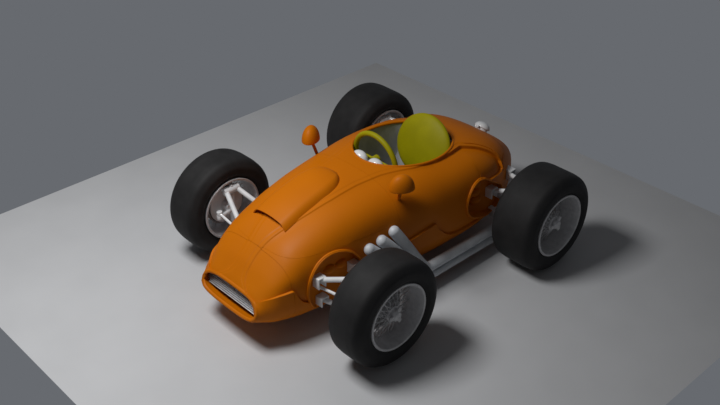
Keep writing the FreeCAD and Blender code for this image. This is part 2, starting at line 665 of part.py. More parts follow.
# Rear arms, upright and half shaft
rear_x = v["rear_upright_x"]
rear_z = v["rear_tyre_radius"]
rear_upper = rod("rear_upper_barrel", "barrel_r", "barrel_length", vec(rear_x, rear_y - 56, 462), back)
rear_lower = rod("rear_lower_barrel", "barrel_r - 4", "barrel_length", vec(rear_x, rear_y - 56, 232), back)
rear_legs = [
    rod_between("rear_upper_leg_0", "arm_radius", vec(406, rear_y - 45, 372), vec(rear_x, rear_y - 38, 462)),
    rod_between("rear_upper_leg_1", "arm_radius", vec(390, rear_y + 150, 418), vec(rear_x, rear_y + 42, 462)),
    rod_between("rear_lower_leg_0", "arm_radius", vec(406, rear_y - 60, 250), vec(rear_x, rear_y - 42, 232)),
    rod_between("rear_lower_leg_1", "arm_radius", vec(390, rear_y + 140, 250), vec(rear_x, rear_y + 42, 232)),
]
rear_arm_pair = set_of("rear_arm_pair", [fused("rear_upper_arm", [rear_upper] + rear_legs[:2]),
                                         fused("rear_lower_arm", [rear_lower] + rear_legs[2:])])
rear_arms = cut("rear_arms_part", rear_arm_pair, left_brackets)
node("rear_arms_left", rear_arms)
node("rear_arms_right", mirrored("rear_arms_mirror", rear_arms))
upright_post = block("upright_post", (44, 60, 462 - 232 - 48.6 - 0.6), vec(rear_x - 22, rear_y - 30, 232 + 22.3))
rear_hub_face = v["rear_track"] / 2 - 10
rear_plate = rod("rear_plate", "drum_radius - 14", 6, vec(rear_hub_face - 53.3, rear_y, rear_z), left)
rear_carrier = rod("rear_carrier", 46, rear_hub_face - 53.3 - rear_x, vec(rear_x, rear_y, rear_z), left)
upright_bore = rod("upright_bore", "upright_bore_radius", 200, vec(rear_x - 60, rear_y, rear_z), left)
upright = cut("upright_part", fused("upright_solid", [upright_post, rear_plate, rear_carrier]), upright_bore)
node("rear_uprights", set_of("upright_pair", [upright, mirrored("upright_mirror", upright)]))
shaft_start = 110.3
shaft = fused("shaft_part", [
    rod("shaft_bar", "shaft_radius", rear_hub_face + 80 - shaft_start, vec(shaft_start, rear_y, rear_z), left),
    rod("shaft_joint", 30, 60, vec(shaft_start + 4, rear_y, rear_z), left)])
node("half_shaft_left", shaft)
node("half_shaft_right", mirrored("shaft_mirror", shaft))

# Steering rack with its rods fixed; each rod's eye lies just above the arm
rack = rod("rack_bar", "rack_radius", 620, vec(-310, rack_y, rack_z), left)
rods = []
for side, sign in (("left", 1), ("right", -1)):
    end = vec(sign * arm_end.x, arm_end.y, axle_z - 6 + 13 + 1 + 14)
    rods.append(rod_between("tie_rod_" + side, "tie_radius", vec(sign * 300, rack_y, rack_z), end))
    rods.append(rod("tie_eye_" + side, 18, 26, end - vec(0, 0, 13), up))
node("steering_rack", fused("rack_part", [rack] + rods))
housing = fused("housing_solid", [
    rod("housing_tube", "rack_radius + 10", 240, vec(-120, rack_y, rack_z), left),
    block("housing_foot", (110, 50, 24), vec(-55, rack_y - 25, rack_z - 42))])
node("rack_housing", cut("housing_part", housing,
                         rod("housing_bore", "rack_radius + 0.05", 260, vec(-130, rack_y, rack_z), left)))

doc.recompute()
os.makedirs("parts", exist_ok=True)
bad = [o.Label for o in doc.Objects if "Invalid" in o.State or "Error" in o.State]
if bad:
    raise RuntimeError("features not computed: " + ", ".join(bad))
for name, obj in nodes.items():
    if obj.Shape.isNull() or not obj.Shape.isValid() or not obj.Shape.Solids:
        raise RuntimeError("bad shape: " + name)
for name, obj in nodes.items():
    obj.Shape.exportStep(os.path.join("parts", name + ".step"))
    box = obj.Shape.BoundBox
    print("%-20s solids %2d volume %9.1f cm3  x %6.0f %6.0f y %6.0f %6.0f z %6.0f %6.0f" % (
        name, len(obj.Shape.Solids), obj.Shape.Volume / 1000, box.XMin, box.XMax,
        box.YMin, box.YMax, box.ZMin, box.ZMax))
print("%d nodes" % len(nodes))
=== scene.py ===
import json
import math
import bpy
from mathutils import Matrix, Vector


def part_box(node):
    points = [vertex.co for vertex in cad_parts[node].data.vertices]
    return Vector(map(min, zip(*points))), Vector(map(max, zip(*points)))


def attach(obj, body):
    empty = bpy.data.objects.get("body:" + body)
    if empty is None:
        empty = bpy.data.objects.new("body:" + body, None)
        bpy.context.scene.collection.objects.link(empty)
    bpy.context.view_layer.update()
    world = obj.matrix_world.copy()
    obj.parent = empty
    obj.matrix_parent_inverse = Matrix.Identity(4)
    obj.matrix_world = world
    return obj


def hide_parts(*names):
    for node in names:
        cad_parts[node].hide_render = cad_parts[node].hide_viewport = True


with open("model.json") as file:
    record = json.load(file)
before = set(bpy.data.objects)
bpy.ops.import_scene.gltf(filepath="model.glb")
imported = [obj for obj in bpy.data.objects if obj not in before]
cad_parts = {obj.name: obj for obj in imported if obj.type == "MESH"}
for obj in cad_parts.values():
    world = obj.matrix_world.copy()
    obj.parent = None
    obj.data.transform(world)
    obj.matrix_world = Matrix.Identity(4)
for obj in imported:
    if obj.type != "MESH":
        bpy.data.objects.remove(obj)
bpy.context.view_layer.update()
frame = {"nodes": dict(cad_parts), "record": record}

# Layout of the car: metres, nose towards -Y, the car's left towards +X
layout = {
    "front": {"axleY": -0.676, "track": 1.500, "radius": 0.330},
    "rear": {"axleY": 0.680, "track": 1.540, "radius": 0.328},
}
frontY = layout["front"]["axleY"]
rearY = layout["rear"]["axleY"]
bodyOf = {name: body for body, names in frame["record"]["behaviour"]["bodies"].items() for name in names}


def toLinear(hexText):  # sRGB hex to the linear colour that the shaders want
    channels = [int(hexText[i:i + 2], 16) / 255 for i in (1, 3, 5)]
    return tuple([c / 12.92 if c <= 0.04045 else ((c + 0.055) / 1.055) ** 2.4 for c in channels] + [1.0])


def addNode(material, kind, values=None, links=None, **settings):  # a node, its settings and what feeds it
    node = material.node_tree.nodes.new(kind)
    for name, value in settings.items():
        setattr(node, name, value)
    for name, value in (values or {}).items():
        node.inputs[name].default_value = value
    for name, source in (links or {}).items():
        material.node_tree.links.new(source, node.inputs[name])
    return node


def newMaterial(name, **values):  # values of the shader's own sockets, with _ for a space
    material = bpy.data.materials.new(name)
    material.use_nodes = True
    shader = material.node_tree.nodes["Principled BSDF"]
    for socket, value in values.items():
        shader.inputs[socket.replace("_", " ")].default_value = value
    return material, shader


def objectCoords(material):
    return addNode(material, "ShaderNodeTexCoord").outputs["Object"]


def grain(material, scale, detail=2.0):  # soft noise with scale spots to the metre
    noise = addNode(material, "ShaderNodeTexNoise", {"Scale": scale, "Detail": detail},
                    {"Vector": objectCoords(material)})
    return noise.outputs["Fac"]


def blendColours(material, factor, darkHex, lightHex):
    ramp = addNode(material, "ShaderNodeValToRGB", None, {"Fac": factor})
    for stop, position, hexText in zip(ramp.color_ramp.elements, (0.3, 0.7), (darkHex, lightHex)):
        stop.position = position
        stop.color = toLinear(hexText)
    return ramp.outputs["Color"]


def spread(material, factor, low, high):
    node = addNode(material, "ShaderNodeMapRange", {"To Min": low, "To Max": high}, {"Value": factor})
    return node.outputs["Result"]


def bump(material, shader, height, strength, distance):
    node = addNode(material, "ShaderNodeBump", {"Strength": strength, "Distance": distance}, {"Height": height})
    material.node_tree.links.new(node.outputs["Normal"], shader.inputs["Normal"])


def plug(material, source, shader, socket):
    material.node_tree.links.new(source, shader.inputs[socket])


def deselect():
    if bpy.context.object and bpy.context.object.mode != "OBJECT":
        bpy.ops.object.mode_set(mode="OBJECT")
    bpy.ops.object.select_all(action="DESELECT")


def pick(piece):
    deselect()
    piece.select_set(True)
    bpy.context.view_layer.objects.active = piece
    return piece


def settle(piece):  # puts place, turn and size into the mesh
    pick(piece)
    bpy.ops.object.transform_apply(location=True, rotation=True, scale=True)
    return piece


def applyModifier(piece, kind, **settings):
    pick(piece)
    modifier = piece.modifiers.new(kind.title(), kind)
    for name, value in settings.items():
        setattr(modifier, name, value)
    bpy.ops.object.modifier_apply(modifier=modifier.name)
    return piece


def bevelled(piece, width, segments=3, angle=40):
    return applyModifier(piece, "BEVEL", width=width, segments=segments, limit_method="ANGLE",
                         angle_limit=math.radians(angle))


def combine(piece, tool, operation, keepTool=False):
    applyModifier(piece, "BOOLEAN", object=tool, operation=operation, solver="MANIFOLD")
    if not keepTool:
        bpy.data.objects.remove(tool)
    return piece


def joined(pieces, name):
    deselect()
    for piece in pieces:
        piece.select_set(True)
    bpy.context.view_layer.objects.active = pieces[0]
    if len(pieces) > 1:
        bpy.ops.object.join()
    pieces[0].name = name
    return pieces[0]


def duplicate(piece, name):
    twin = piece.copy()
    twin.data = piece.data.copy()
    twin.name = name
    bpy.context.scene.collection.objects.link(twin)
    return twin


def mirrorCopy(piece, name):  # the same piece on the other side of the car
    twin = duplicate(piece, name)
    twin.data.transform(Matrix.Scale(-1, 4, (1, 0, 0)))
    twin.data.flip_normals()
    return twin


def outward(piece):  # doubles merged, then all faces turned outwards
    pick(piece)
    bpy.ops.object.mode_set(mode="EDIT")
    bpy.ops.mesh.select_all(action="SELECT")
    bpy.ops.mesh.remove_doubles(threshold=0.00002)
    bpy.ops.mesh.normals_make_consistent(inside=False)
    bpy.ops.object.mode_set(mode="OBJECT")
    return piece


def smooth(piece, angle=35):
    pick(piece)
    bpy.ops.object.shade_smooth_by_angle(angle=math.radians(angle))
    return piece


def paint(piece, material):
    piece.data.materials.clear()
    piece.data.materials.append(material)


def stand(piece, material, node):  # a finished piece: its finish, its body and the node it stands for
    paint(piece, material)
    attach(piece, bodyOf[node])
    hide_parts(node)


def spun(name, profile, centre, steps=96):  # a profile of (distance along the axle, radius) turned round an axle
    deselect()
    bpy.ops.mesh.primitive_circle_add(vertices=len(profile), radius=1, location=(0, 0, 0))
    piece = bpy.context.object
    piece.name = name
    for vertex, (along, radius) in zip(piece.data.vertices, profile):
        vertex.co = Vector(centre) + Vector((along, 0, radius))
    bpy.ops.object.mode_set(mode="EDIT")
    bpy.ops.mesh.select_all(action="SELECT")
    bpy.ops.mesh.spin(steps=steps, angle=2 * math.pi, center=centre, axis=(1, 0, 0))
    bpy.ops.object.mode_set(mode="OBJECT")
    return outward(piece)


def rounded(corners, steps=5):  # corners (x, y, radius) of a closed profile, each turned into a short arc
    points = []
    for index, (x, y, radius) in enumerate(corners):
        here = Vector((x, y))
        before = Vector(corners[index - 1][:2]) - here
        after = Vector(corners[(index + 1) % len(corners)][:2]) - here
        if radius <= 0:
            points.append((x, y))
            continue
        half = before.angle(after) / 2
        back = min(radius / math.tan(half), before.length * 0.49, after.length * 0.49)
        start = here + before.normalized() * back
        end = here + after.normalized() * back
        for step in range(steps + 1):
            t = step / steps
            points.append(tuple(start * (1 - t) ** 2 + here * 2 * t * (1 - t) + end * t ** 2))
    return points


def curveTube(name, points, radius, sides, taper=None):  # a smooth tapering pipe, or a closed bead if no taper is given
    deselect()
    curve = bpy.data.curves.new(name, "CURVE")
    curve.dimensions = "3D"
    curve.bevel_depth = radius
    curve.bevel_resolution = sides // 4 - 1
    curve.resolution_u = 10
    spline = curve.splines.new("NURBS" if taper else "POLY")
    spline.points.add(len(points) - 1)
    for point, place in zip(spline.points, points):
        point.co = (*place, 1)
    if taper:
        curve.use_fill_caps = True
        for point, width in zip(spline.points, taper):
            point.radius = width
        spline.order_u = 4
        spline.use_endpoint_u = True
    else:
        spline.use_cyclic_u = True
    piece = bpy.data.objects.new(name, curve)
    bpy.context.scene.collection.objects.link(piece)
    pick(piece)
    bpy.ops.object.convert(target="MESH")
    return bpy.context.object


def ball(name, centre, size, segments=32, rings=20):
    deselect()
    bpy.ops.mesh.primitive_uv_sphere_add(segments=segments, ring_count=rings, radius=1, location=centre)
    piece = bpy.context.object
    piece.name = name
    piece.scale = size
    return settle(piece)


def bar(name, radius, start, end, sides=24):
    deselect()
    start, end = Vector(start), Vector(end)
    bpy.ops.mesh.primitive_cylinder_add(vertices=sides, radius=radius, depth=(end - start).length)
    piece = bpy.context.object
    piece.name = name
    turn = (end - start).to_track_quat("Z", "Y").to_matrix().to_4x4()
    piece.matrix_world = Matrix.Translation((start + end) / 2) @ turn
    return settle(piece)


def box(name, low, high):
    deselect()
    low, high = Vector(low), Vector(high)
    bpy.ops.mesh.primitive_cube_add(size=1, location=(low + high) / 2)
    piece = bpy.context.object
    piece.name = name
    piece.scale = high - low
    return settle(piece)


def softened(node):  # a CAD node's own form with its doubles merged and its edges rounded by 1.2 mm
    piece = duplicate(frame["nodes"][node], node + "_look")
    piece.parent = None
    for key in list(piece.keys()):
        del piece[key]
    pick(piece)
    bpy.ops.object.mode_set(mode="EDIT")
    bpy.ops.mesh.select_all(action="SELECT")
    bpy.ops.mesh.remove_doubles(threshold=0.00001)
    bpy.ops.mesh.dissolve_limited(angle_limit=math.radians(1))
    bpy.ops.object.mode_set(mode="OBJECT")
    return smooth(bevelled(piece, 0.0012, 2), 40)


# Camera at the photograph's angle
camera = {"place": (3.8116, -3.7267, 3.7993), "turn": (57.225, 0, 46.836), "lens": 50.0, "sensor": 36}
bpy.ops.object.camera_add(location=camera["place"], rotation=[math.radians(a) for a in camera["turn"]])
bpy.context.scene.camera = bpy.context.object
bpy.context.object.data.lens = camera["lens"]
bpy.context.object.data.sensor_width = camera["sensor"]
bpy.context.scene.view_settings.view_transform = "Standard"

# One large soft lamp overhead, a faint sky, and a grey backdrop for the camera and for glossy surfaces
light = {"place": (-0.56, -2.00, 3.82), "size": 1.3, "power": 118, "backdrop": "#676A6F", "sky": "#E2E3E6",
         "skyStrength": 0.07}
bpy.ops.object.light_add(type="AREA", location=light["place"])
lamp = bpy.context.object
lamp.data.size = light["size"]
lamp.data.energy = light["power"]
world = bpy.data.worlds.new("studio")
bpy.context.scene.world = world
world.use_nodes = True
background = world.node_tree.nodes["Background"]
background.inputs["Color"].default_value = toLinear(light["sky"])
background.inputs["Strength"].default_value = light["skyStrength"]
plainBack = addNode(world, "ShaderNodeBackground", {"Color": toLinear(light["backdrop"]), "Strength": 1.0})
rays = addNode(world, "ShaderNodeLightPath")
direct = addNode(world, "ShaderNodeMath", None, {0: rays.outputs["Is Camera Ray"], 1: rays.outputs["Is Glossy Ray"]},
                 operation="MAXIMUM")
backMix = addNode(world, "ShaderNodeMixShader", None,
                  {0: direct.outputs[0], 1: background.outputs[0], 2: plainBack.outputs[0]})
world.node_tree.links.new(backMix.outputs[0], world.node_tree.nodes["World Output"].inputs[0])

# A square board of matt painted floor, pale, with a faint unevenness
floorBoard = {"half": 2.08, "centre": (0, -0.08, -0.0005)}
deselect()
bpy.ops.mesh.primitive_plane_add(size=2 * floorBoard["half"], location=floorBoard["centre"])
floor = settle(bpy.context.object)
floor.name = "floor"
floorPaint, floorShader = newMaterial("studioFloorBoard", Roughness=0.55)
plug(floorPaint, blendColours(floorPaint, grain(floorPaint, 3.0), "#C6C7C9", "#CACBCD"), floorShader, "Base Color")
paint(floor, floorPaint)
print("studio ready")

# Satin enamel over rolled aluminium: little shine, soft patches of 400 mm and an orange peel. The real
# peel of 2 mm is too fine for the render, so it is drawn 11 mm wide and very shallow.
enamel, enamelShader = newMaterial("orangeEnamel", Roughness=0.55, Specular_IOR_Level=0.12, Coat_Weight=0.04,
                                   Coat_Roughness=0.3)
plug(enamel, blendColours(enamel, grain(enamel, 2.5), "#C46A00", "#CC7000"), enamelShader, "Base Color")
bump(enamel, enamelShader, grain(enamel, 90, 1.0), 0.06, 0.001)

# Satin grey paint of the cockpit liner, rubbed by use in patches of about 100 mm
linerPaint, linerShader = newMaterial("satinGreyPaint", Roughness=0.5)
plug(linerPaint, blendColours(linerPaint, grain(linerPaint, 9, 4), "#9A9C9E", "#AEB0B2"), linerShader, "Base Color")
plug(linerPaint, spread(linerPaint, grain(linerPaint, 30, 3), 0.4, 0.6), linerShader, "Roughness")

# White gloss enamel brushed on the suspension tubes, the pods and the cap, uneven over about 70 mm
whitePaint, whiteShader = newMaterial("whiteTubeEnamel", Roughness=0.3, Coat_Weight=0.5, Coat_Roughness=0.1)
plug(whitePaint, blendColours(whitePaint, grain(whitePaint, 14, 3), "#DCDEE0", "#ECEDEE"), whiteShader, "Base Color")

# Slick racing rubber as moulded: matt, in two close shades of black, with a grain of 2.4 mm. The real
# grain is under 1 mm and is drawn coarser so that it shows.
rubber, rubberShader = newMaterial("slickRubber", Roughness=0.7, Specular_IOR_Level=0.3)
plug(rubber, blendColours(rubber, grain(rubber, 12, 5), "#1B1A1A", "#252424"), rubberShader, "Base Color")
bump(rubber, rubberShader, grain(rubber, 420, 2), 0.12, 0.0008)

# Rims of satin aluminium turned on a lathe and lacquered: pale, with spots of 25 mm, finer in the shine
rimAlloy, rimShader = newMaterial("satinRimAluminium", Metallic=0.1)
plug(rimAlloy, blendColours(rimAlloy, grain(rimAlloy, 40, 3), "#C2C2C4", "#D6D6D8"), rimShader, "Base Color")
plug(rimAlloy, spread(rimAlloy, grain(rimAlloy, 120, 2), 0.3, 0.45), rimShader, "Roughness")

# Plated and ground steel of the half shafts and the steering column
hubSteel, hubShader = newMaterial("platedSteel", Metallic=0.7)
plug(hubSteel, blendColours(hubSteel, grain(hubSteel, 60, 2), "#A9ABAE", "#C6C8CB"), hubShader, "Base Color")
plug(hubSteel, spread(hubSteel, grain(hubSteel, 90, 2), 0.22, 0.38), hubShader, "Roughness")

# Cast iron as it leaves the sand, with a 4 mm grain: engine, final drive, rack housing and, as dark and
# dull, the radiator
castIron, castShader = newMaterial("castIron", Roughness=0.7, Metallic=0.4)
plug(castIron, blendColours(castIron, grain(castIron, 60, 4), "#4C4E50", "#6A6C6E"), castShader, "Base Color")
bump(castIron, castShader, grain(castIron, 260, 3), 0.3, 0.001)

# Sand cast aluminium of the brake drums, pale and dull, with a 3 mm grain
castAlloy, alloyShader = newMaterial("castAluminium", Roughness=0.6, Metallic=0.05)
plug(castAlloy, blendColours(castAlloy, grain(castAlloy, 50, 3), "#8E8B8A", "#A5A2A1"), alloyShader, "Base Color")
bump(castAlloy, alloyShader, grain(castAlloy, 300, 3), 0.2, 0.0008)

# Exhaust pipes in pale aluminised steel, dulled by heat in patches of 60 mm
pipeSteel, pipeShader = newMaterial("aluminisedSteel", Metallic=0.05)
plug(pipeSteel, blendColours(pipeSteel, grain(pipeSteel, 16, 4), "#BFC3C8", "#D2D6DA"), pipeShader, "Base Color")
plug(pipeSteel, spread(pipeSteel, grain(pipeSteel, 50, 3), 0.48, 0.64), pipeShader, "Roughness")

# Grille slats in brushed aluminium, its shine broken up every 9 mm
slatAlloy, slatShader = newMaterial("brushedAluminium", Metallic=0.3)
plug(slatAlloy, blendColours(slatAlloy, grain(slatAlloy, 35, 2), "#B3B5B8", "#CACCCF"), slatShader, "Base Color")
plug(slatAlloy, spread(slatAlloy, grain(slatAlloy, 110, 2), 0.3, 0.5), slatShader, "Roughness")

# Yellow green vinyl of the seat and the steering wheel, embossed with leather cells of 4 mm
vinyl, vinylShader = newMaterial("yellowGreenVinyl", Roughness=0.55, Specular_IOR_Level=0.2)
plug(vinyl, blendColours(vinyl, grain(vinyl, 7, 3), "#958E00", "#A29A02"), vinylShader, "Base Color")
cells = addNode(vinyl, "ShaderNodeTexVoronoi", {"Scale": 240.0}, {"Vector": objectCoords(vinyl)},
                feature="DISTANCE_TO_EDGE")
bump(vinyl, vinylShader, cells.outputs["Distance"], 0.25, 0.0012)
print("finishes ready")

# Body skin: rings run along the body from the tail to the mouth, round the lip and back inside
skinShape = {
    "stations": (  # distance behind the front axle, half width, top height, bottom height
        (-0.535, 0.252, 0.318, 0.190), (-0.500, 0.272, 0.364, 0.170), (-0.400, 0.322, 0.458, 0.130),
        (-0.200, 0.362, 0.586, 0.088), (0.100, 0.397, 0.688, 0.078), (0.450, 0.436, 0.733, 0.086),
        (0.800, 0.480, 0.742, 0.108), (1.150, 0.482, 0.712, 0.130), (1.450, 0.402, 0.645, 0.145),
        (1.700, 0.246, 0.492, 0.176), (1.830, 0.130, 0.372, 0.222), (1.885, 0.052, 0.318, 0.258)),
    "squareness": 3.2, "waist": 0.42, "wall": 0.012, "ringGap": 0.011, "plainGap": 0.03, "ringSteps": 420,
    "lipRadius": 0.013, "lipSteps": 8, "lipSides": 0.8, "mouthRake": 0.051, "rakeStart": -0.200, "rakeLength": 0.335,
    "tailY": 1.872, "insideEnd": 1.80,
}
# Flanks set in between a shoulder line above and a sill line below, tucked in further above the sill
flank = {
    "shoulder": (  # distance behind the front axle, distance from the centre line
        (-0.482, 0.190), (-0.477, 0.142), (-0.450, 0.082), (-0.413, 0.060), (-0.339, 0.056), (-0.269, 0.066),
        (-0.178, 0.090), (-0.100, 0.112), (0.000, 0.134), (0.157, 0.156), (0.341, 0.166), (0.509, 0.192),
        (0.585, 0.216), (0.720, 0.264), (0.893, 0.292), (1.040, 0.274), (1.160, 0.246), (1.268, 0.294),
        (1.345, 0.342), (1.392, 0.380), (1.410, 0.440)),
    "sill": (  # distance behind the front axle, height
        (-0.482, 0.318), (-0.439, 0.338), (-0.380, 0.358), (-0.290, 0.368), (-0.268, 0.305), (-0.240, 0.264),
        (-0.190, 0.236), (-0.120, 0.226), (0.110, 0.226), (0.170, 0.262), (0.215, 0.330), (0.260, 0.352),
        (0.544, 0.378), (0.717, 0.418), (0.746, 0.362), (0.800, 0.309), (0.850, 0.280), (0.907, 0.266),
        (1.110, 0.264), (1.140, 0.534), (1.219, 0.516), (1.289, 0.508), (1.372, 0.496), (1.398, 0.520),
        (1.420, 0.600)),
    "shoulderLean": 0.93, "sillLean": 0.80, "startLean": 0.85,  # shares of the mouth's rake at each line
    "start": -0.486, "startRun": 0.010, "leastHeight": 0.060, "fadeFrom": 0.020, "fadeRun": 0.050,
    "depth": 0.007, "edge": 0.011, "band": 0.0028, "tuck": 0.006, "tuckLength": 0.080, "sillEdge": 0.005,
    "tailDepth": 0.014, "tailFade": 0.17, "tailStart": 0.62, "tailRun": 0.5,
    "grooveIn": 0.032, "grooveHalf": 0.005, "grooveDepth": 0.008, "grooveStart": 1.19, "grooveEnd": 1.50,
    "grooveFade": 0.04, "parts": (11, 4, 3, 5, 14, 5, 11),
}


def ease(t):
    t = min(max(t, 0), 1)
    return t * t * (3 - 2 * t)


def stationAt(y):  # half width, top and bottom of the skin on a smooth curve through the stations
    rows = skinShape["stations"]
    y = min(max(y, rows[0][0]), rows[-1][0])
    low = max(i for i in range(len(rows) - 1) if rows[i][0] <= y)
    slopes = []
    for i in (low, low + 1):
        a, b = rows[max(i - 1, 0)], rows[min(i + 1, len(rows) - 1)]
        slopes.append([(b[k] - a[k]) / (b[0] - a[0]) for k in (1, 2, 3)])
    span = rows[low + 1][0] - rows[low][0]
    t = (y - rows[low][0]) / span
    values = []
    for k in range(3):
        a, b = rows[low][k + 1], rows[low + 1][k + 1]
        values.append((2 * t ** 3 - 3 * t ** 2 + 1) * a + (t ** 3 - 2 * t ** 2 + t) * span * slopes[0][k]
                      + (3 * t ** 2 - 2 * t ** 3) * b + (t ** 3 - t ** 2) * span * slopes[1][k])
    return values


def lineAt(rows, y, blur=0.010):  # a line through rows of (y, value) with its corners rounded
    total = 0
    for step in range(-3, 4):
        here = min(max(y + blur * step / 3, rows[0][0]), rows[-1][0])
        low = max(i for i in range(len(rows) - 1) if rows[i][0] <= here)
        a, b = rows[low], rows[low + 1]
        total += a[1] + (b[1] - a[1]) * (here - a[0]) / (b[0] - a[0])
    return total / 7


def leanAt(y):  # how far the top of a ring stands behind its bottom
    return skinShape["mouthRake"] * ease((skinShape["rakeStart"] - y) / skinShape["rakeLength"])


def skinX(y, z, grow=0.0):  # half width of the skin at a height, y in the car's frame
    half, top, bottom = stationAt(y - frontY)
    half, top, bottom = half + grow, top + grow, bottom - grow
    middle = bottom + (top - bottom) * skinShape["waist"]
    t = (z - middle) / (top - middle) if z > middle else (middle - z) / (middle - bottom)
    n = skinShape["squareness"]
    return half * max(1 - min(abs(t), 1) ** n, 0) ** (1 / n)


def skinZ(x, y, grow=0.0):  # top of the skin above a point
    half, top, bottom = stationAt(y - frontY)
    half, top, bottom = half + grow, top + grow, bottom - grow
    middle = bottom + (top - bottom) * skinShape["waist"]
    n = skinShape["squareness"]
    return middle + (top - middle) * max(1 - min(abs(x) / half, 1) ** n, 0) ** (1 / n)


def ringPath(y, half, top, bottom, relief):  # one ring: points (x, y, z) from the top round to the top again
    middle = bottom + (top - bottom) * skinShape["waist"]
    power = 2 / skinShape["squareness"]
    dense, lengths = [], [0]
    steps = skinShape["ringSteps"]
    for step in range(steps + 1):
        a = math.pi * (0.5 - step / steps)
        c, s = max(math.cos(a), 0), math.sin(a)
        reach = top - middle if s > 0 else middle - bottom
        dense.append((half * c ** power, middle + reach * math.copysign(abs(s) ** power, s)))
    for a, b in zip(dense, dense[1:]):
        lengths.append(lengths[-1] + math.hypot(b[0] - a[0], b[1] - a[1]))
    lean = leanAt(y)
    shoulderX = lineAt(flank["shoulder"], y + lean * flank["shoulderLean"])
    sillZ = lineAt(flank["sill"], y + lean * flank["sillLean"])
    upper = max(next((n for n, (x, z) in enumerate(dense) if x >= shoulderX or z <= middle), steps // 2), 1)
    lower = max(next((n for n, (x, z) in enumerate(dense) if z <= sillZ), steps), 1)
    span = min(max((shoulderX - dense[upper - 1][0]) / max(dense[upper][0] - dense[upper - 1][0], 1e-6), 0), 1)
    shoulder = lengths[upper - 1] + span * (lengths[upper] - lengths[upper - 1])
    span = min(max((dense[lower - 1][1] - sillZ) / max(dense[lower - 1][1] - dense[lower][1], 1e-6), 0), 1)
    sill = lengths[lower - 1] + span * (lengths[lower] - lengths[lower - 1])
    tall, least = sill - shoulder, flank["leastHeight"]
    if tall < least:  # too low a flank: its lines keep their distance, and its relief fades out
        mid = min(max((shoulder + sill) / 2, 0.10), lengths[-1] - 0.05)
        shoulder, sill = mid - least / 2, mid + least / 2
    share = ease((tall - flank["fadeFrom"]) / flank["fadeRun"]) * relief
    share *= ease((y + lean * flank["startLean"] - flank["start"]) / flank["startRun"])
    groove, edge, sillEdge = shoulder - flank["grooveIn"], flank["edge"] / 2, flank["sillEdge"] / 2
    stops = [0, groove - flank["grooveHalf"], groove + flank["grooveHalf"], shoulder - edge, shoulder + edge,
             sill - sillEdge, sill + sillEdge, lengths[-1]]
    marks = [0.0]
    for count, a, b in zip(flank["parts"], stops, stops[1:]):
        marks += [a + (b - a) * (step + 1) / count for step in range(count)]
    tailDepth = flank["tailDepth"] * ease((y - flank["tailStart"]) / flank["tailRun"])
    inRun = ease((y - flank["grooveStart"]) / flank["grooveFade"]) * relief
    inRun *= ease((flank["grooveEnd"] - y) / flank["grooveFade"])
    halfRing, index = [], 0
    for mark in marks:
        while index < steps - 1 and lengths[index + 1] < mark:
            index += 1
        a, b = dense[index], dense[index + 1]
        span = lengths[index + 1] - lengths[index]
        t = min(max((mark - lengths[index]) / span, 0), 1)
        fade = 1 - ease((mark - shoulder) / flank["tailFade"])
        depth = (flank["depth"] + tailDepth * fade) * ease((mark - shoulder) / (2 * edge) + 0.5)
        depth += flank["tuck"] * ease((mark - sill + flank["tuckLength"]) / flank["tuckLength"])
        depth += flank["band"] * ease((mark - groove) / (2 * edge) + 0.5)
        depth *= share * (1 - ease((mark - sill) / (2 * sillEdge) + 0.5))
        depth += flank["grooveDepth"] * inRun * ease(1 - abs(mark - groove) / flank["grooveHalf"])
        x = a[0] + (b[0] - a[0]) * t + (b[1] - a[1]) / span * depth
        z = a[1] + (b[1] - a[1]) * t - (b[0] - a[0]) / span * depth
        halfRing.append((max(x, 0), frontY + y + lean * (z - bottom) / (top - bottom), z))
    return halfRing + [(-x, yy, z) for x, yy, z in reversed(halfRing[1:-1])]


def skinTube(name, rings):  # rings of (y, half width, top, bottom, share of the flank's relief)
    paths = [ringPath(*ring) for ring in rings]
    count = len(paths[0])
    deselect()
    bpy.ops.mesh.primitive_grid_add(x_subdivisions=count, y_subdivisions=len(rings) - 1, size=2)
    piece = bpy.context.object
    piece.name = name
    for index, vertex in enumerate(piece.data.vertices):
        vertex.co = paths[index // (count + 1)][index % (count + 1) % count]
    pick(piece)
    bpy.ops.object.mode_set(mode="EDIT")
    bpy.ops.mesh.select_all(action="SELECT")
    bpy.ops.mesh.remove_doubles(threshold=0.00001)
    bpy.ops.mesh.fill_holes(sides=0)
    bpy.ops.object.mode_set(mode="OBJECT")
    return outward(piece)


def ringsFor(inset, start, end, gap, relief=0):  # evenly spaced rings, inset from the skin
    count = max(2, round((end - start) / gap))
    rows = []
    for step in range(count + 1):
        y = start + (end - start) * step / count
        half, top, bottom = stationAt(y)
        rows.append((y, half - inset, top - inset, bottom + inset, relief))
    return rows


mouthY = skinShape["stations"][0][0]
lip = skinShape["lipRadius"]
wall = skinShape["wall"]
tailEnd = [(1.885, 0.030, 0.303, 0.273, 0), (1.883, 0.044, 0.313, 0.263, 0)]
half, top, bottom = stationAt(mouthY + lip)
lipRings = []
for step in range(1, skinShape["lipSteps"] + 1):
    angle = math.pi * step / skinShape["lipSteps"]
    inset = lip * (1 - math.cos(angle))
    lipRings.append((mouthY + lip - lip * math.sin(angle), half - inset * skinShape["lipSides"], top - inset,
                     bottom + inset, 0))
lipEnd = mouthY + lip
inside = ringsFor(2 * lip * 0.9, lipEnd + 0.02, lipEnd + 0.10, skinShape["plainGap"])
insideFar = ringsFor(wall + 0.002, lipEnd + 0.16, skinShape["insideEnd"], skinShape["plainGap"], 1)
insideFar.append((1.84, 0.09, 0.345, 0.235, 0))
outerRings = list(reversed(ringsFor(0, lipEnd, skinShape["tailY"], skinShape["ringGap"], 1)))
plainRings = list(reversed(ringsFor(0, lipEnd, skinShape["tailY"], skinShape["plainGap"])))
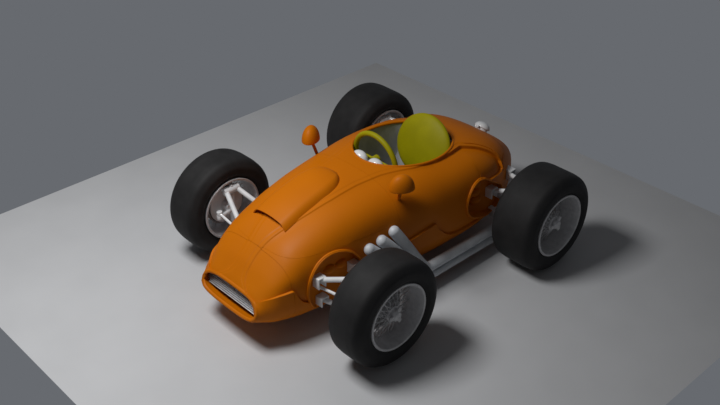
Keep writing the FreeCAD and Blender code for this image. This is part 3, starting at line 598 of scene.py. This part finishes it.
shell = skinTube("bodySkin", tailEnd + outerRings + lipRings + inside + insideFar)
solidForm = skinTube("solidForm", tailEnd + plainRings + lipRings[:4])
print("skin rings", len(shell.data.polygons), "faces")

# Recesses where the suspension meets the body: round in front, a slot with round ends behind
recess = {
    "front": {"ends": ((frontY - 0.016, 0.312, 0.189), (frontY - 0.016, 0.312, 0.189)), "floorX": 0.338},
    "rear": {"ends": ((rearY - 0.250, 0.430, 0.123), (rearY - 0.074, 0.336, 0.106)), "floorX": 0.392},
    "count": 144, "samples": 720, "beadRadius": 0.0055, "beadOut": 0.6, "beadSink": 0.002, "edgeSink": 0.014,
    "reach": 0.8,
}


def slotOutline(ends, grow):  # evenly spaced points (y, z) round two circles (y, z, radius)
    (a, firstRadius), (b, lastRadius) = [(Vector(end[:2]), end[2] + grow) for end in ends]
    raw = []
    for step in range(recess["samples"]):
        angle = 2 * math.pi * step / recess["samples"]
        out = Vector((math.cos(angle), math.sin(angle)))
        last = b.dot(out) + lastRadius > a.dot(out) + firstRadius
        raw.append(b + out * lastRadius if last else a + out * firstRadius)
    raw.append(raw[0])
    lengths = [0]
    for p, q in zip(raw, raw[1:]):
        lengths.append(lengths[-1] + (q - p).length)
    points, index = [], 0
    for step in range(recess["count"]):
        goal = lengths[-1] * step / recess["count"]
        while lengths[index + 1] < goal:
            index += 1
        t = (goal - lengths[index]) / max(lengths[index + 1] - lengths[index], 1e-9)
        points.append(raw[index].lerp(raw[index + 1], t))
    return points


def prism(name, outline, start, end):  # an outline (y, z) drawn out along X
    count = len(outline)
    deselect()
    bpy.ops.mesh.primitive_cylinder_add(vertices=count, radius=1, depth=2)
    piece = bpy.context.object
    piece.name = name
    for vertex in piece.data.vertices:
        place = round(math.atan2(vertex.co.y, vertex.co.x) / (2 * math.pi) * count) % count
        x = start if vertex.co.z < 0 else end
        vertex.co = (x, outline[place].x, outline[place].y)
    return outward(piece)


beads = []
for place in ("front", "rear"):
    ends, floorX = recess[place]["ends"], recess[place]["floorX"]
    for sign in (1, -1):
        lining = prism("recessWall", slotOutline(ends, wall), sign * (floorX - wall), sign * recess["reach"])
        combine(lining, solidForm, "INTERSECT", keepTool=True)
        combine(shell, lining, "UNION")
        pocket = prism("pocket", slotOutline(ends, 0), sign * floorX, sign * (recess["reach"] + 0.1))
        combine(shell, pocket, "DIFFERENCE")
        rim = []
        for point in slotOutline(ends, recess["beadRadius"] * recess["beadOut"]):
            x, edgeSink = skinX(point.x, point.y), recess["edgeSink"]
            sink = recess["beadSink"] + edgeSink * ease((floorX + edgeSink - x) / edgeSink)
            rim.append((sign * (x - sink), point.x, point.y))
        beads.append(rim)
bpy.data.objects.remove(solidForm)
print("recesses cut", len(shell.data.polygons), "faces")

# The cockpit is an oval hole with a rolled rim
cockpit = {"centreY": frontY + 0.893, "halfWidth": 0.276, "halfLength": 0.352, "cutZ": 0.68, "cutDepth": 0.5,
           "cutSides": 128, "rimRadius": 0.009, "rimSteps": 144, "rimWider": 1.004, "rimLonger": 0.001, "rimSunk": 0.55}
deselect()
bpy.ops.mesh.primitive_cylinder_add(vertices=cockpit["cutSides"], radius=1, depth=cockpit["cutDepth"],
                                    location=(0, cockpit["centreY"], cockpit["cutZ"]))
hole = bpy.context.object
hole.scale = (cockpit["halfWidth"], cockpit["halfLength"], 1)
combine(shell, settle(hole), "DIFFERENCE")
print("cockpit cut", len(shell.data.polygons), "faces")


# Panels: the skin cut where the real panels meet, with a hairline gap between them
panels = {"noseY": frontY - 0.300, "tailY": frontY + 1.290, "bonnetY": frontY + 0.455, "trayZ": 0.152,
          "bonnetZ": 0.520, "gap": 0.0006}
side, far, high = 1, 1.5, 1.2  # past the body on every side
gap, noseY, tailY, bonnetY = panels["gap"], panels["noseY"], panels["tailY"], panels["bonnetY"]
trayZ, bonnetZ = panels["trayZ"], panels["bonnetZ"]
cutBoxes = {
    "nose_cowl": [((-side, -far, 0), (side, noseY - gap, high))],
    "tail_cowl": [((-side, tailY + gap, 0), (side, far, high))],
    "under_tray": [((-side, noseY + gap, 0), (side, tailY - gap, trayZ - gap))],
    "bonnet": [((-side, noseY + gap, bonnetZ + gap), (side, bonnetY - gap, high))],
    "body_shell": [((-side, noseY + gap, trayZ + gap), (side, bonnetY + gap, bonnetZ - gap)),
                   ((-side, bonnetY + gap, trayZ + gap), (side, tailY - gap, high))],
}
skins = {}
for node, boxes in cutBoxes.items():
    blocks = [box("part", low, high) for low, high in boxes]
    cutter = blocks[0]
    for other in blocks[1:]:
        combine(cutter, other, "UNION")
    skins[node] = combine(duplicate(shell, node + "_skin"), cutter, "INTERSECT")
bpy.data.objects.remove(shell)
print("panels cut")

extras = [curveTube("bead", rim, recess["beadRadius"], 16) for rim in beads]
rimPoints = []
for step in range(cockpit["rimSteps"]):
    angle = 2 * math.pi * step / cockpit["rimSteps"]
    x = math.cos(angle) * cockpit["halfWidth"]
    y = cockpit["centreY"] + math.sin(angle) * cockpit["halfLength"]
    rimPoints.append((x * cockpit["rimWider"], y + math.sin(angle) * cockpit["rimLonger"],
                      skinZ(x, y) - cockpit["rimRadius"] * cockpit["rimSunk"]))
extras.append(curveTube("cockpitRim", rimPoints, cockpit["rimRadius"], 16))

# Rounded bosses pressed into the floors of the recesses
bosses = {
    "front": {"size": (0.036, 0.042, 0.026), "places": ((-0.038, 0.392), (0.050, 0.388))},
    "rear": {"size": (0.036, 0.050, 0.030), "places": ((-0.206, 0.486), (-0.212, 0.424), (-0.200, 0.362))},
    "sink": 0.004,
}
for place, axleY in (("front", frontY), ("rear", rearY)):
    for y, z in bosses[place]["places"]:
        for sign in (1, -1):
            x = sign * (recess[place]["floorX"] - bosses["sink"])
            extras.append(smooth(ball("boss", (x, axleY + y, z), bosses[place]["size"], 40, 24), 180))
skins["body_shell"] = joined([skins["body_shell"]] + extras, skins["body_shell"].name)

# Bonnet blister: an arched hood, open in front as a scoop, that runs out behind
blister = {
    "rows": (  # distance behind the front axle, share of the half width, share of the height
        (-0.165, 0.98, 0.90), (-0.060, 1, 1), (0.060, 1, 1), (0.180, 0.99, 1), (0.245, 0.90, 0.94),
        (0.292, 0.72, 0.80), (0.322, 0.48, 0.52), (0.338, 0.22, 0.10), (0.345, 0.02, -0.30)),
    "half": 0.150, "height": 0.043, "x": -0.032, "foot": -0.18, "crease": 0.68, "crown": 0.20, "blur": 0.02,
    "straight": 0.38, "curl": 2.6, "along": 84, "across": 57, "skin": 0.007,
}
rows = blister["rows"]
crease, crown = blister["crease"], blister["crown"]
deselect()
bpy.ops.mesh.primitive_grid_add(x_subdivisions=blister["across"] - 1, y_subdivisions=blister["along"] - 1, size=2)
pad = bpy.context.object
pad.name = "blister"
for index, vertex in enumerate(pad.data.vertices):
    i, j = index // blister["across"], index % blister["across"]
    y = rows[0][0] + (rows[-1][0] - rows[0][0]) * math.sin(math.pi / 2 * i / (blister["along"] - 1))
    wide = lineAt([(a, b) for a, b, c in rows], y, blister["blur"])
    tall = lineAt([(a, c) for a, b, c in rows], y, blister["blur"])
    u = math.sin(math.pi / 2 * (2 * j / (blister["across"] - 1) - 1))
    if abs(u) < crease:
        rise = 1 - crown * (u / crease) ** 2
    else:
        t = (abs(u) - crease) / (1 - crease)
        fall = blister["straight"] * t + (1 - blister["straight"]) * t ** blister["curl"]
        rise = (1 - crown) + (blister["foot"] - 1 + crown) * fall
    x = blister["x"] + blister["half"] * wide * u
    vertex.co = (x, frontY + y, skinZ(x, frontY + y) + blister["height"] * rise * tall)
applyModifier(pad, "SOLIDIFY", thickness=blister["skin"], offset=-1)
skins["bonnet"] = joined([skins["bonnet"], pad], skins["bonnet"].name)
for node, skin in skins.items():
    smooth(skin, 32)
    stand(skin, enamel, node)
print("body skin ready")

# Wheels: a slick tyre, and a rim with its hub, four families of wires and a three eared nut
wheel = {
    "front": {"width": 0.262, "inner": 0.133, "outer": 0.124, "hubIn": -0.008, "hubOut": 0.092},
    "rear": {"width": 0.316, "inner": 0.154, "outer": 0.154, "hubIn": -0.010, "hubOut": 0.118},
    "steps": 96, "bead": 0.1955, "barrel": 0.188, "wall": 0.007, "flange": 0.209,
    "wires": 15, "wireRadius": 0.0024, "wireRoot": 0.046, "wireSink": 0.002,
    "ear": ((0.001, -0.013, 0.0), (0.016, 0.013, 0.056)),
}


def wheelCentre(place):
    return Vector((layout[place]["track"] / 2, layout[place]["axleY"], layout[place]["radius"]))


def makeTyre(place):
    half, r, bead = wheel[place]["width"] / 2, layout[place]["radius"], wheel["bead"]
    side = [(half - 0.043, bead, 0), (half - 0.012, bead + 0.016, 0.006), (half, bead + 0.040, 0.03),
            (half, r - 0.055, 0.05), (half - 0.030, r - 0.006, 0.05), (half - 0.085, r, 0.08)]
    corners = side + [(-x, y, c) for x, y, c in reversed(side)]
    return smooth(spun("tyre_%s_left_look" % place, rounded(corners), wheelCentre(place), wheel["steps"]), 50)


def makeRim(place):
    b, t, f = wheel["barrel"], wheel["wall"], wheel["flange"]
    o, i = wheel[place]["outer"], wheel[place]["inner"]
    corners = [(o, f - 0.002, 0.002), (o - 0.008, f, 0.002), (o - 0.008, b + t + 0.006, 0.003),
               (o - 0.034, b + t, 0.004), (0.02, b + t, 0), (-i + 0.034, b + t, 0.004),
               (-i + 0.008, b + t + 0.006, 0.003), (-i + 0.008, f, 0.002), (-i, f - 0.002, 0.002),
               (-i, b + 0.006, 0.004), (-i + 0.034, b, 0.006), (0.0, b - 0.006, 0.02), (o - 0.034, b, 0.006),
               (o, b + 0.006, 0.004)]
    centre = wheelCentre(place)
    barrel = smooth(spun("barrel", rounded(corners), centre, wheel["steps"]), 50)
    hubIn, hubOut = wheel[place]["hubIn"], wheel[place]["hubOut"]
    hubCorners = [(hubIn, 0.0201, 0), (hubIn, 0.040, 0.002), (hubIn + 0.004, 0.050, 0.002),
                  (hubIn + 0.016, 0.050, 0.002), (hubIn + 0.022, 0.036, 0.004), (hubOut - 0.034, 0.034, 0.004),
                  (hubOut - 0.026, 0.048, 0.002), (hubOut - 0.014, 0.048, 0.002), (hubOut - 0.010, 0.036, 0.002),
                  (hubOut + 0.006, 0.034, 0.002), (hubOut + 0.022, 0.024, 0.006), (hubOut + 0.026, 0.002, 0.004),
                  (hubOut + 0.018, 0.0005, 0), (hubOut - 0.012, 0.0005, 0), (hubOut - 0.012, 0.0201, 0)]
    hub = smooth(spun("hub", rounded(hubCorners), centre, wheel["steps"] // 2), 40)
    wires = []
    root, reach = wheel["wireRoot"], b + wheel["wireSink"]
    families = ((hubOut - 0.020, 0.020, 26), (hubOut - 0.020, 0.008, -26),  # start, end, lean in degrees
                (hubIn + 0.010, -0.010, 22), (hubIn + 0.010, -0.020, -22))
    for number, (rootX, rimX, lean) in enumerate(families):
        offset = 360 / wheel["wires"] * number / len(families)
        a, c = math.radians(offset), math.radians(offset + lean)
        start = centre + Vector((rootX, root * math.sin(a), root * math.cos(a)))
        end = centre + Vector((rimX, reach * math.sin(c), reach * math.cos(c)))
        wire = bar("wire", wheel["wireRadius"], start, end, 8)
        pick(wire)
        bpy.ops.object.mode_set(mode="EDIT")
        bpy.ops.mesh.select_all(action="SELECT")
        bpy.ops.mesh.spin(steps=wheel["wires"], angle=2 * math.pi, center=centre, axis=(1, 0, 0), dupli=True)
        bpy.ops.object.mode_set(mode="OBJECT")
        wires.append(smooth(wire, 60))
    ears = []
    for step in range(3):
        turn = math.radians(90 + 120 * step)
        ear = bevelled(box("ear", *[Vector((hubOut, 0, 0)) + Vector(corner) for corner in wheel["ear"]]), 0.006)
        ear.data.transform(Matrix.Translation(centre) @ Matrix.Rotation(turn, 4, "X"))
        ears.append(smooth(ear, 50))
    return joined([barrel, hub] + wires + ears, "rim_%s_left_look" % place)


for place in ("front", "rear"):
    for kind, piece, finish in (("tyre", makeTyre(place), rubber), ("rim", makeRim(place), rimAlloy)):
        twin = mirrorCopy(piece, "%s_%s_right_look" % (kind, place))
        stand(piece, finish, "%s_%s_left" % (kind, place))
        stand(twin, finish, "%s_%s_right" % (kind, place))
print("wheels ready")

# Seat: an oval padded back that leans, and a padded base between the sides of the tub
seat = {"centre": (0, frontY + 1.082, 0.632), "half": (0.221, 0.054, 0.201), "lean": -20, "baseBevel": 0.035}
back = ball("seat_back_look", (0, 0, 0), seat["half"], 64, 40)
back.data.transform(Matrix.Translation(seat["centre"]) @ Matrix.Rotation(math.radians(seat["lean"]), 4, "X"))
smooth(back, 180)
stand(back, vinyl, "seat_back")

base = smooth(bevelled(box("seat_base_look", *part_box("seat_base")), seat["baseBevel"], 5), 60)
stand(base, vinyl, "seat_base")

# Steering wheel: a padded ring on three spokes, square to its column
grip = {"centre": Vector((0, frontY + 0.656, 0.690)), "radius": 0.176, "tube": 0.017, "lean": 0.07,
        "spokeTurns": (0, 180, 270), "spokeRadius": 0.008, "bossRadius": 0.028, "bossHalf": 0.02}
axis = Vector((0, 1, grip["lean"])).normalized()
turnUp = axis.to_track_quat("Z", "Y").to_matrix().to_4x4()
deselect()
bpy.ops.mesh.primitive_torus_add(major_radius=grip["radius"], minor_radius=grip["tube"], major_segments=80,
                                 minor_segments=20)
ring = bpy.context.object
ring.matrix_world = Matrix.Translation(grip["centre"]) @ turnUp
settle(ring)
spokes = []
across = Vector((1, 0, 0))
rise = axis.cross(across)
for turn in grip["spokeTurns"]:
    a = math.radians(turn)
    reach = (across * math.cos(a) - rise * math.sin(a)) * grip["radius"]
    spokes.append(bar("gripSpoke", grip["spokeRadius"], grip["centre"], grip["centre"] + reach, 16))
deep = axis * grip["bossHalf"]
boss = bevelled(bar("boss", grip["bossRadius"], grip["centre"] - deep, grip["centre"] + deep, 40), 0.004)
handWheel = smooth(joined([ring, boss] + spokes, "steering_wheel_look"), 50)
stand(handWheel, vinyl, "steering_wheel")

# Two instrument domes behind the front rim of the cockpit, on one bar
pods = {"x": 0.070, "y": frontY + 0.588, "z": 0.704, "size": (0.058, 0.041, 0.047), "barRadius": 0.006,
        "barHalf": 0.100, "barZ": 0.680}
domes = [smooth(ball("pod", (sign * pods["x"], pods["y"], pods["z"]), pods["size"], 40, 24), 180) for sign in (1, -1)]
cross = bar("podBar", pods["barRadius"], (-pods["barHalf"], pods["y"], pods["barZ"]),
            (pods["barHalf"], pods["y"], pods["barZ"]))
stand(joined(domes + [smooth(cross, 50)], "instrument_pods_look"), whitePaint, "instrument_pods")
print("cockpit ready")

# Mirrors: domes with a flat underside, on short stalks; the right one is made and mirrored
mirror = {"head": Vector((-0.402, frontY + 0.478, 0.735)), "size": (0.055, 0.078, 0.097), "yaw": 31,
          "foot": Vector((-0.352, frontY + 0.498, 0.612)), "footSize": (0.020, 0.020, 0.014), "footUp": 0.010,
          "stalkRadius": 0.010, "stalkIn": 0.008}
dome = ball("dome", (0, 0, 0), mirror["size"], 48, 32)
combine(dome, box("under", (-0.2, -0.2, -0.2), (0.2, 0.2, 0)), "DIFFERENCE")
bevelled(dome, 0.003, 3, 50)
dome.data.transform(Matrix.Translation(mirror["head"]) @ Matrix.Rotation(math.radians(mirror["yaw"]), 4, "Z"))
stalk = bar("stalk", mirror["stalkRadius"], mirror["foot"], mirror["head"] + Vector((0, 0, mirror["stalkIn"])), 20)
foot = ball("foot", mirror["foot"] + Vector((0, 0, mirror["footUp"])), mirror["footSize"], 32, 16)
rightMirror = joined([smooth(dome, 40), smooth(stalk, 50), smooth(foot, 180)], "mirror_right")
leftMirror = mirrorCopy(rightMirror, "mirror_left")
stand(joined([rightMirror, leftMirror], "mirrors_look"), enamel, "mirrors")
print("mirrors ready")

# Grille: level slats that step back with the leaning mouth, on posts
grille = {"slats": (0.221, 0.2325, 0.244, 0.2555, 0.267, 0.2785), "front": -0.495, "deep": 0.026, "thick": 0.004,
          "sideGap": 0.020, "low": 0.190, "posts": (-0.180, -0.090, 0, 0.090, 0.180), "postRadius": 0.004,
          "postLow": 0.203, "postHigh": 0.292, "postIn": 0.020}
slope = skinShape["mouthRake"] / (skinShape["stations"][0][2] - grille["low"])


def grilleY(z):  # front of the grille at a height
    return frontY + grille["front"] + slope * (z - grille["low"])


parts = []
for z in grille["slats"]:
    reach, thick = skinX(frontY + mouthY + 0.02, z, -grille["sideGap"]), grille["thick"] / 2
    slat = box("slat", (-reach, grilleY(z), z - thick), (reach, grilleY(z) + grille["deep"], z + thick))
    parts.append(smooth(bevelled(slat, 0.0015, 2), 40))
for x in grille["posts"]:
    low, high = [(x, grilleY(z) + grille["postIn"], z) for z in (grille["postLow"], grille["postHigh"])]
    parts.append(smooth(bar("post", grille["postRadius"], low, high, 12), 50))
stand(joined(parts, "grille_look"), slatAlloy, "grille")
print("grille ready")

# Exhaust on the left: three bent headers with round ends come out of the flank and run into two long pipes
exhaust = {
    "roots": (  # distance behind the front axle, height, the pipe it joins, how far ahead of its start
        (0.216, 0.441, "low", 0), (0.306, 0.462, "high", 0.020), (0.398, 0.488, "high", 0)),
    "low": ((0.510, 0.585, 0.091), 0.025), "high": ((0.505, 0.595, 0.158), 0.032),  # start and radius
    "radius": 0.036, "proud": 0.002, "bow": 0.010, "lap": 0.026, "end": 0.6398,
}
pipes = []
for y, z, which, ahead in exhaust["roots"]:
    end, radius = exhaust[which]
    end = Vector(end) + Vector((0, frontY - ahead, 0))
    root = Vector((skinX(frontY + y, z) + exhaust["proud"], frontY + y, z))
    run, bow = end - root, Vector((exhaust["bow"], 0, 0))
    points = [root, root + run * 0.12 + bow, root + run * 0.5 + bow, end - run * 0.08,
              end + Vector((0, exhaust["lap"], 0))]
    thin = radius / exhaust["radius"]
    pipes.append(smooth(curveTube("header", points, exhaust["radius"], 28, [1, 1, 0.97, thin, thin]), 60))
    pipes.append(smooth(ball("headerEnd", root, [exhaust["radius"]] * 3, 36, 24), 180))
for which in ("low", "high"):
    (x, y, z), radius = exhaust[which]
    pipes.append(smooth(ball("collector", (x, frontY + y, z), (radius, radius * 1.5, radius), 36, 20), 180))
    pipes.append(smooth(bar("collectorRun", radius, (x, frontY + y, z), (x, frontY + exhaust["end"], z), 36), 50))
stand(joined(pipes, "exhaust_headers_look"), pipeSteel, "exhaust_headers")
print("exhaust ready")

# Suspension: brackets open outboard and below, and arms of round tube that start in them
arms = {
    "front": {"x": 0.625, "z": {"upper": 0.470, "lower": 0.192}},  # outer end of each arm
    "rear": {"x": 0.640, "z": {"upper": 0.462, "lower": 0.232}},
    "legs": {  # inner ends of the front and the rear leg of each arm, measured from the axle along the car
        ("front", "upper"): ((0.346, -0.132, 0.366), (0.346, 0.132, 0.336)),
        ("front", "lower"): ((0.346, -0.114, 0.224), (0.346, 0.094, 0.230)),
        ("rear", "upper"): ((0.400, -0.068, 0.378), (0.384, 0.132, 0.424)),
        ("rear", "lower"): ((0.400, -0.024, 0.214), (0.384, 0.140, 0.246))},
    "tube": 0.016, "bevel": 0.003,
    "barrel": {"radius": 0.026, "half": 0.056, "legIn": 0.008, "legApart": 0.040},
    "eye": {"radius": 0.027, "half": 0.022, "legIn": 0.020, "legApart": 0.010, "bore": 0.0122},
}
bracket = {"wide": 0.058, "leaf": 0.009, "bevel": 0.003, "room": 0.042, "half": {"upper": 0.036, "lower": 0.030},
           "deep": {"front": 0.056, "rear": 0.058}, "lap": 0.001, "tailStart": 0.340, "tailDeep": 0.088}


def makeBracket(start, deep, y, z, half):  # a block with a room that is open outboard and below
    wide, leaf = bracket["wide"] / 2, bracket["leaf"]
    block = box("bracket", (start, y - wide, z - half), (start + deep, y + wide, z + half))
    room = box("room", (start + deep - bracket["room"], y - wide + leaf, z - half - 0.01),
               (start + deep + 0.01, y + wide - leaf, z + half - leaf))
    combine(block, room, "DIFFERENCE")
    return smooth(bevelled(block, bracket["bevel"]), 40)


def makeArm(place, level):  # two legs from the body to a barrel along the car, or to an eye round the kingpin
    x, y, z = arms[place]["x"], layout[place]["axleY"], arms[place]["z"][level]
    kind = "eye" if (place, level) == ("front", "lower") else "barrel"
    shape = arms[kind]
    half = Vector((0, 0, shape["half"])) if kind == "eye" else Vector((0, shape["half"], 0))
    centre = Vector((x, y, z))
    end = bar(kind, shape["radius"], centre - half, centre + half, 40)
    if kind == "eye":
        combine(end, bar("bore", shape["bore"], (x, y, z - 0.06), (x, y, z + 0.06), 32), "DIFFERENCE")
    pieces = [smooth(bevelled(end, arms["bevel"]), 40)]
    for leg, (inX, inY, inZ) in zip((-1, 1), arms["legs"][place, level]):
        outer = (x - shape["legIn"], y + leg * shape["legApart"], z)
        pieces.append(smooth(bar("leg", arms["tube"], (inX, y + inY, inZ), outer, 28), 50))
    return joined(pieces, level)


brackets = []
for (place, level), legs in arms["legs"].items():
    for number, (x, y, z) in enumerate(legs):
        start, deep = recess[place]["floorX"] - bracket["lap"], bracket["deep"][place]
        if place == "rear" and number == 1:  # behind the recess, on the tapering tail
            start, deep = bracket["tailStart"], bracket["tailDeep"]
        brackets.append(makeBracket(start, deep, layout[place]["axleY"] + y, z, bracket["half"][level]))
rightBrackets = [mirrorCopy(piece, "bracket_right") for piece in brackets]
stand(joined(brackets + rightBrackets, "suspension_brackets_look"), whitePaint, "suspension_brackets")
for place in ("front", "rear"):
    armPair = joined([makeArm(place, "upper"), makeArm(place, "lower")], place + "_arms_left_look")
    stand(mirrorCopy(armPair, place + "_arms_right_look"), whitePaint, place + "_arms_right")
    stand(armPair, whitePaint, place + "_arms_left")
print("suspension ready")

# Softened copies of the plain turned and folded parts
rearHeight = layout["rear"]["radius"]
shaftThin = 0.994  # so that the facets of the half shafts turn free of the facets of their bores
plainFinish = {
    "cockpit_tub": linerPaint, "filler_neck": whitePaint, "fuel_cap": whitePaint, "radiator": castIron,
    "steering_column": hubSteel, "tail_pipes": pipeSteel, "engine_block": castIron, "final_drive": castIron,
    "rear_uprights": whitePaint, "steering_rack": whitePaint, "rack_housing": castIron,
}
for side in ("left", "right"):
    plainFinish["knuckle_" + side] = whitePaint
    plainFinish["half_shaft_" + side] = hubSteel
    for place in ("front", "rear"):
        plainFinish["drum_%s_%s" % (place, side)] = castAlloy
for node, finish in plainFinish.items():
    piece = softened(node)
    if node.startswith("half_shaft"):
        for vertex in piece.data.vertices:
            vertex.co.y = rearY + (vertex.co.y - rearY) * shaftThin
            vertex.co.z = rearHeight + (vertex.co.z - rearHeight) * shaftThin
    stand(piece, finish, node)
print("small parts ready")
